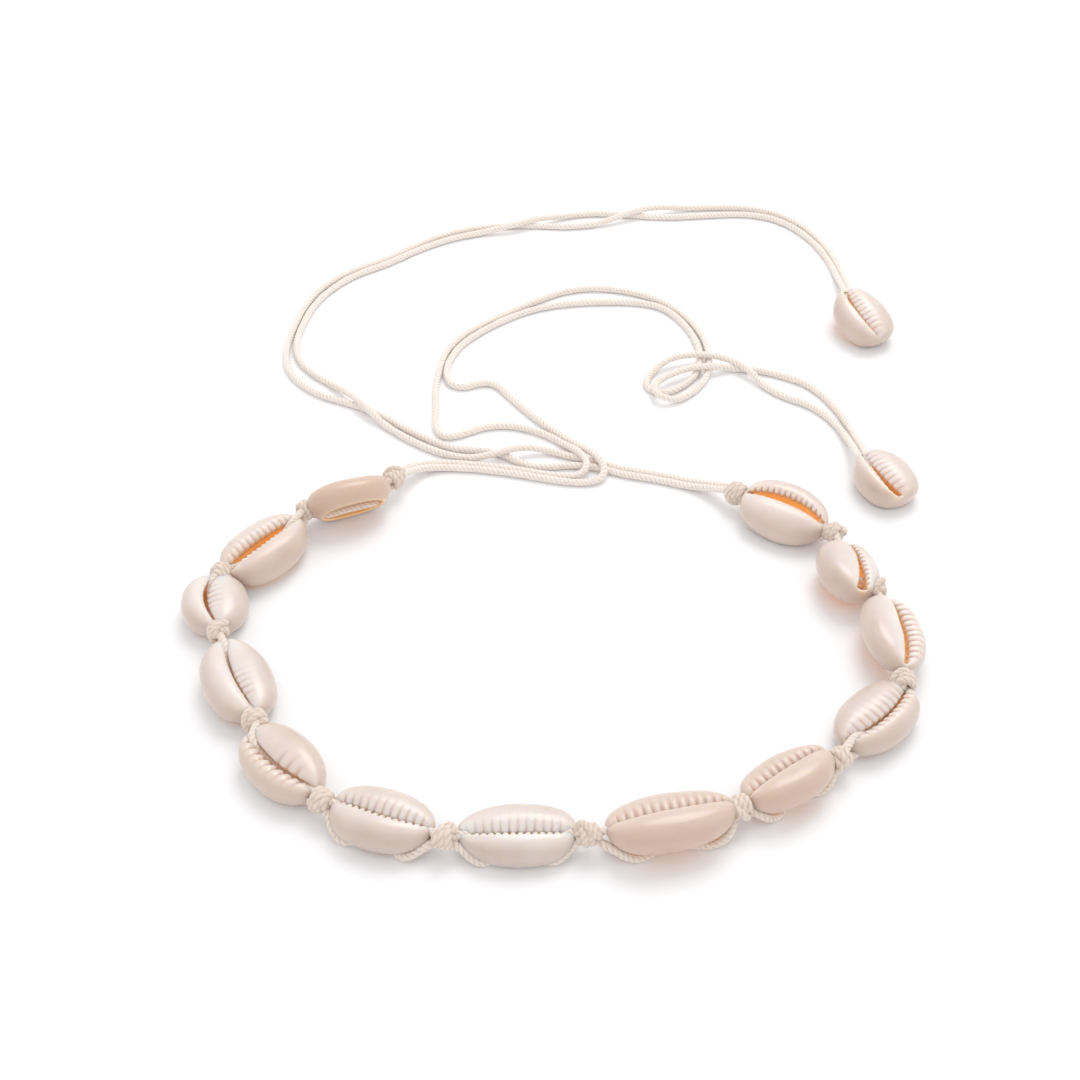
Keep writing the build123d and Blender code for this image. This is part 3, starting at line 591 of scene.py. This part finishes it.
def cowrie_spot(form, ring, angle):
    """A point of a cowrie on one of its rings, with how grooved and how low on the flank it is."""
    along, aside = -cos(angle), sin(angle)
    width = abs(aside)
    side = 1.0 if aside >= 0 else -1.0
    lip = form.inner if aside >= 0 else form.outer
    swell = 1 + BROAD_SWELL * max(along * form.broad, 0.0) ** 2
    outline = Vector((form.length / 2 * along, form.width / 2 * aside * swell))

    # the slot's toothed edge, and the smooth line that the lip rises from
    slot_x = MOUTH_REACH * form.length / 2 * along
    fold, shown = folds(slot_x + TOOTH_SHIFT * side, lip, along)
    shown *= smooth(*TOOTH_TIPS, width)
    half_gap = through_three(form.gap, along) / 2 * min(width / SLOT_TIP, 1.0) ** SLOT_ROUND
    tooth = lip.tooth * (TOOTH_MIDDLE - fold) * shown
    middle = through_three(form.mouth, along) * (1 - SLOT_STRAIGHTEN * along ** 4)
    slot = Vector((slot_x, middle + max(half_gap + tooth, LEAST_GAP) * side))
    smooth_slot = Vector((slot_x, middle + max(half_gap, LEAST_GAP) * side))
    crest_line = smooth_slot.lerp(outline, lip.crest)

    # height of the widest line, and of the lip's crest and edge, which meet in one valley at the tips
    top = form.height * (END_TOP + (1 - END_TOP) * width)
    waist = form.height * (END_WAIST - WAIST_DIP * width)
    rolled = END_DIP + (1 - END_DIP) * width
    valley = top - (form.inner.dip + form.outer.dip) / 2 * rolled
    edge = valley + (top - lip.dip * rolled - valley) * smooth(0.0, EDGE_TIP, width)
    crest = valley + (top - valley) * smooth(0.0, CREST_TIP, width)

    # the cut rim and the hollow inside the walls
    rim = Vector((outline.x * RIM_LENGTH, outline.y * RIM_WIDTH))
    inner_rim = Vector((rim.x * (1 - 2 * RIM_THICK * RIM_END / (form.length * RIM_LENGTH)),
                        rim.y * (1 - 2 * RIM_THICK / (form.width * RIM_WIDTH))))
    hollow = Vector((outline.x * (1 - 2 * END_WALL / form.length),
                     outline.y * (1 - 2 * SIDE_WALL / form.width)))

    zone, share = ring.zone, ring.share
    spread = 1.0
    if zone == "lip":
        flat = slot.lerp(crest_line, share)
        up = crest - (crest - edge) * (1 - share) ** 2
        spread = share * lip.crest
    elif zone == "flank":
        lean = share * pi / 2
        flat = crest_line.lerp(outline, sin(lean))
        up = waist + (crest - waist) * cos(lean) ** FLANK_ROUND
        spread = lip.crest + (1 - lip.crest) * sin(lean)
    elif zone == "under":
        lean = share * UNDER_LEAN
        flat = outline.lerp(rim, (1 - cos(lean)) / (1 - cos(UNDER_LEAN)))
        up = waist * (1 - sin(lean) / sin(UNDER_LEAN))
    elif zone == "rim":
        flat, up = rim.lerp(inner_rim, share), 0.0
    elif zone == "inner":
        flat = inner_rim.lerp(hollow, sin(share * pi / 2))
        up = waist * share
    elif zone == "roof":
        lean = (1 - share * ROOF_REACH) * pi / 2
        flat = slot.lerp(hollow, ROOF_START + (1 - ROOF_START) * sin(lean) ** ROOF_ROUND)
        up = waist + (min(crest, edge + ROOF_LIFT) - ROOF_WALL - waist) * cos(lean)
    else:
        flat = slot.lerp(outline, THROAT_SPREAD)
        up = edge - THROAT_DEPTH + THROAT_RISE * share

    # folds fade out with the distance from the slot, and the outside is a little uneven
    fade = exp(-(spread / lip.reach) ** 2) * shown if zone in ("lip", "flank") else 0.0
    up += lip.ridge * (fold - FOLD_MIDDLE) * fade
    # the grooves' colour: partly the shell's own tint, partly painted shade between the folds
    grooved = (1 - fold) ** GROOVE_NARROW * fade * min(lip.ridge * RIDGE_TINT_AND_SHADE + lip.tooth, 1.0)
    if zone in ("lip", "flank", "under"):
        wave = noise.noise(Vector((flat.x / UNEVEN_RUN, flat.y / UNEVEN_RUN, form.east)))
        up += UNEVEN * wave * smooth(0, 1, up)
    low = smooth(FLANK_START, 1.0, spread) if zone == "flank" else float(zone == "under")
    return Vector((flat.x, flat.y, up)), grooved, low


def ring_spots(form, ring):
    """The points of one ring, with how grooved and how low each is."""
    return [cowrie_spot(form, ring, 2 * pi * index / RING_SPOTS) for index in range(RING_SPOTS)]


def seated(form):
    """The same cowrie, raised until its lowest point lies on the table."""
    place = cowrie_place(form)
    foot = [ring for ring in RINGS if ring.zone in ("under", "rim")]
    heights = [(place @ spot).z for ring in foot for spot, grooved, low in ring_spots(form, ring)]
    return form._replace(level=-min(heights))


def between_knots(form, before, after):
    """A row shell with its own place, heading and length, from the knots on each side of it."""
    return form._replace(
        east=(before[0] + after[0]) / 2 + form.east,
        north=(before[1] + after[1]) / 2 + form.north,
        turn=degrees(heading(before, after)) + form.turn,
        length=dist(before, after) - KNOT_LENGTH + form.length,
    )


def build_cowrie(form):
    """A cut cowrie as one wall round its mouth: each ring of it is drawn out from the one before."""
    bm = bmesh.new()
    layers = [bm.verts.layers.float.new(name) for name in ("inside", "glow", "groove", "flank", "tan")]
    place = cowrie_place(form)
    verts, edges = first_ring(bm, RING_SPOTS)
    mouth = edges
    for count, ring in enumerate(RINGS):
        if count:
            verts, edges = next_ring(bm, verts, edges)
        # painted glow: the glow attribute sets the emission that stands in for light soaking through, and
        # the throat's orange is scaled by the same per-shell glow
        inside = ring.inside * (form.glow if ring.zone == "throat" else 1.0)
        glow = ring.inside * form.glow * (RIM_GLOW if ring.zone in ("rim", "inner") else DEEP_GLOW)
        for vert, (spot, grooved, low) in zip(verts, ring_spots(form, ring)):
            vert.co = (place @ spot) * MM
            for layer, value in zip(layers, (inside, glow, grooved, low, form.tone)):
                vert[layer] = value
    bmesh.ops.bridge_loops(bm, edges=mouth + edges)
    return finish_piece(bm, form.node, SHELL)


# Threads and knots


def thread_routes(form, before, after):
    """The front thread, through a shell's hollow, and the back one, under its rim or round it."""
    place = cowrie_place(form)
    ahead = Vector((after[0] - before[0], after[1] - before[1], 0)).normalized()
    entry = Vector((*before, KNOT_HEIGHT)) + ahead * (KNOT_LENGTH / 2 - SOCKET_DEPTH)
    leave = Vector((*after, KNOT_HEIGHT)) - ahead * (KNOT_LENGTH / 2 - SOCKET_DEPTH)
    first, last = [(place.inverted() @ spot).x for spot in (entry, leave)]

    def bends(share):
        """How far along the shell a thread bends at each end, always short of its knots."""
        reach = share * form.length
        return max(-reach, first + THREAD_LEAD), min(reach, last - THREAD_LEAD)

    def inside(along, across, level):
        return place @ Vector((along, across, level))

    def over_slot(share, level):
        across = through_three(form.mouth, share / (MOUTH_REACH / 2))
        return inside(share * form.length, across, level * form.height)

    def beside(share, out, level):
        spot = inside(share * form.length, form.strand * out * form.width, 0)
        spot.z = level
        return spot

    level = FRONT_LEVEL * form.height
    start, end = bends(FRONT_REACH)
    if form.node in LAID_IN_MOUTH:
        middle = [over_slot(*spot) for spot in MOUTH_DIVE]
    else:
        middle = [inside(start, 0, level)]
    rise = Vector((0, 0, FRONT_RISE))
    front = [entry + rise, *middle, inside(end, 0, level), leave + rise]

    if form.node in ROUND_THE_RIM:
        hug = HUG_TILTED if abs(form.roll) > TILTED else HUG_LEVEL
        way = [(-share, out, height) for share, out, height in RIM_WAY] + [RIM_MIDDLE] + RIM_WAY[::-1]
        middle = [beside(share, out * hug, height) for share, out, height in way]
    else:
        start, end = bends(BACK_REACH)
        swing = form.strand * BACK_SWING * form.width
        middle = [inside(start, swing, LOW), inside(0, swing / 2, LOW), inside(end, swing, LOW)]
    drop = Vector((0, 0, BACK_DROP))
    return front, [entry - drop, *middle, leave - drop]


def build_threads(forms):
    """The two cords of the row, as one length of each in every shell."""
    threads = bmesh.new(), bmesh.new()
    for index, form in enumerate(forms):
        routes = thread_routes(form, KNOTS[index], KNOTS[index + 1])
        for bm, route in zip(threads, routes):
            points = even_points(spline_points("route", route), THREAD_STEP * MM)
            # the cord inside the shells is given painted shade, as the shells shadow it
            lay_cord(bm, points, CORD_RADIUS * MM, index, THREAD_SHADE)
    for bm, node in zip(threads, ("thread_front", "thread_back")):
        finish_piece(bm, node, COTTON)


def knot_angles():
    """The way that each knot points: along the row, and half turned to the ties at its two ends."""
    last = len(KNOTS) - 1
    exits = {0: radians(LEFT_EXIT - 180), last: radians(RIGHT_EXIT)}
    angles = []
    for index in range(last + 1):
        angle = heading(KNOTS[max(index - 1, 0)], KNOTS[min(index + 1, last)])
        swing = (exits.get(index, angle) - angle + pi) % (2 * pi) - pi
        angles.append(angle + swing / 2)
    return angles


def build_knot(index, angle):
    """An overhand knot of the doubled cord: wound turns with one strand crossing over them."""
    bm = bmesh.new()
    place = Matrix.Translation((*KNOTS[index], KNOT_HEIGHT)) @ Matrix.Rotation(angle, 4, "Z")
    lean = index * KNOT_LEAN
    reach = KNOT_LENGTH / 2 - KNOT_TUCK

    def around(along, out, spin):
        return place @ Vector((along, out * cos(spin), out * sin(spin)))

    # the turns, which start and end at the knot's axis
    steps = 24
    wound = []
    for step in range(-2, steps + 3):
        share = min(max(step / steps, 0.0), 1.0)
        out = KNOT_WIND * smooth(-3, 2, step) * (1 - smooth(steps - 2, steps + 3, step))
        out += KNOT_BULGE * sin(pi * share)
        wound.append(around(reach * (2 * share - 1), out, lean + 2 * pi * KNOT_TURNS * step / steps))
    points = even_points(spline_points("turns", wound), CORD_STEP * MM)
    lay_cord(bm, points, CORD_RADIUS * MM, index, KNOT_DARKENING)

    # the strand from one end of the knot over its turns to the other
    steps = 8
    start = index * CROSSING_LEAN + CROSSING_START
    crossing = []
    for step in range(steps + 1):
        share = step / steps
        along = (reach + CROSSING_PAST) * (2 * share - 1)
        out = CROSSING_LOW + CROSSING_RISE * sin(pi * share) ** CROSSING_ROUND
        crossing.append(around(along, out, start + CROSSING_SPIN * share))
    points = even_points(spline_points("crossing", crossing), CORD_STEP * MM)
    lay_cord(bm, points, CROSSING_THICK * CORD_RADIUS * MM, index + 1, KNOT_DARKENING)
    finish_piece(bm, f"knot_{index:02d}", COTTON)


def build_tie(name, route):
    """A free tie strand, from its knot to the shell on its end."""
    bm = bmesh.new()
    line = spline_points(name, route)
    points = even_points(line, CORD_STEP * MM)
    lay_cord(bm, points, CORD_RADIUS * MM)
    piece = finish_piece(bm, name, COTTON)


row = [seated(between_knots(*spot)) for spot in zip(ROW_COWRIES, KNOTS, KNOTS[1:])]
for form in row:
    build_cowrie(form)
outer_end, inner_end = [build_cowrie(seated(form)) for form in END_COWRIES]
build_threads(row)
for index, angle in enumerate(knot_angles()):
    build_knot(index, angle)
for name, route in TIES.items():
    build_tie(name, route)


# Stage: a white table, a soft lamp above and behind it, even studio light, and the camera

bm = bmesh.new()
bmesh.ops.create_grid(bm, x_segments=1, y_segments=1, size=TABLE_REACH)
add_piece(bm, "table", matt_laminate())

lamp = bpy.data.objects.new("key", bpy.data.lights.new("key", "AREA"))
lamp.data.shape = "DISK"
lamp.data.size = LAMP_SIZE
lamp.data.energy = LAMP_POWER
lamp.location = LAMP_SPOT
lamp.rotation_euler = (Vector(LAMP_AIM) - Vector(LAMP_SPOT)).to_track_quat("-Z", "Y").to_euler()
bpy.context.scene.collection.objects.link(lamp)

world = bpy.data.worlds.new("studio")
world.use_nodes = True
world.node_tree.nodes["Background"].inputs["Color"].default_value = srgb("FFFFFF")
world.node_tree.nodes["Background"].inputs["Strength"].default_value = STUDIO_LIGHT
bpy.context.scene.world = world
bpy.context.scene.view_settings.view_transform = "Standard"

camera = bpy.data.objects.new("camera", bpy.data.cameras.new("camera"))
camera.data.lens = camera.data.sensor_width / 2 / tan(VIEW_HALF)
camera.data.clip_start = 0.01
east, north = VIEW_AIM
camera.location = (east, north - VIEW_REACH * cos(VIEW_TILT), VIEW_REACH * sin(VIEW_TILT))
camera.rotation_euler = (pi / 2 - VIEW_TILT, 0, 0)
bpy.context.scene.collection.objects.link(camera)
bpy.context.scene.camera = camera
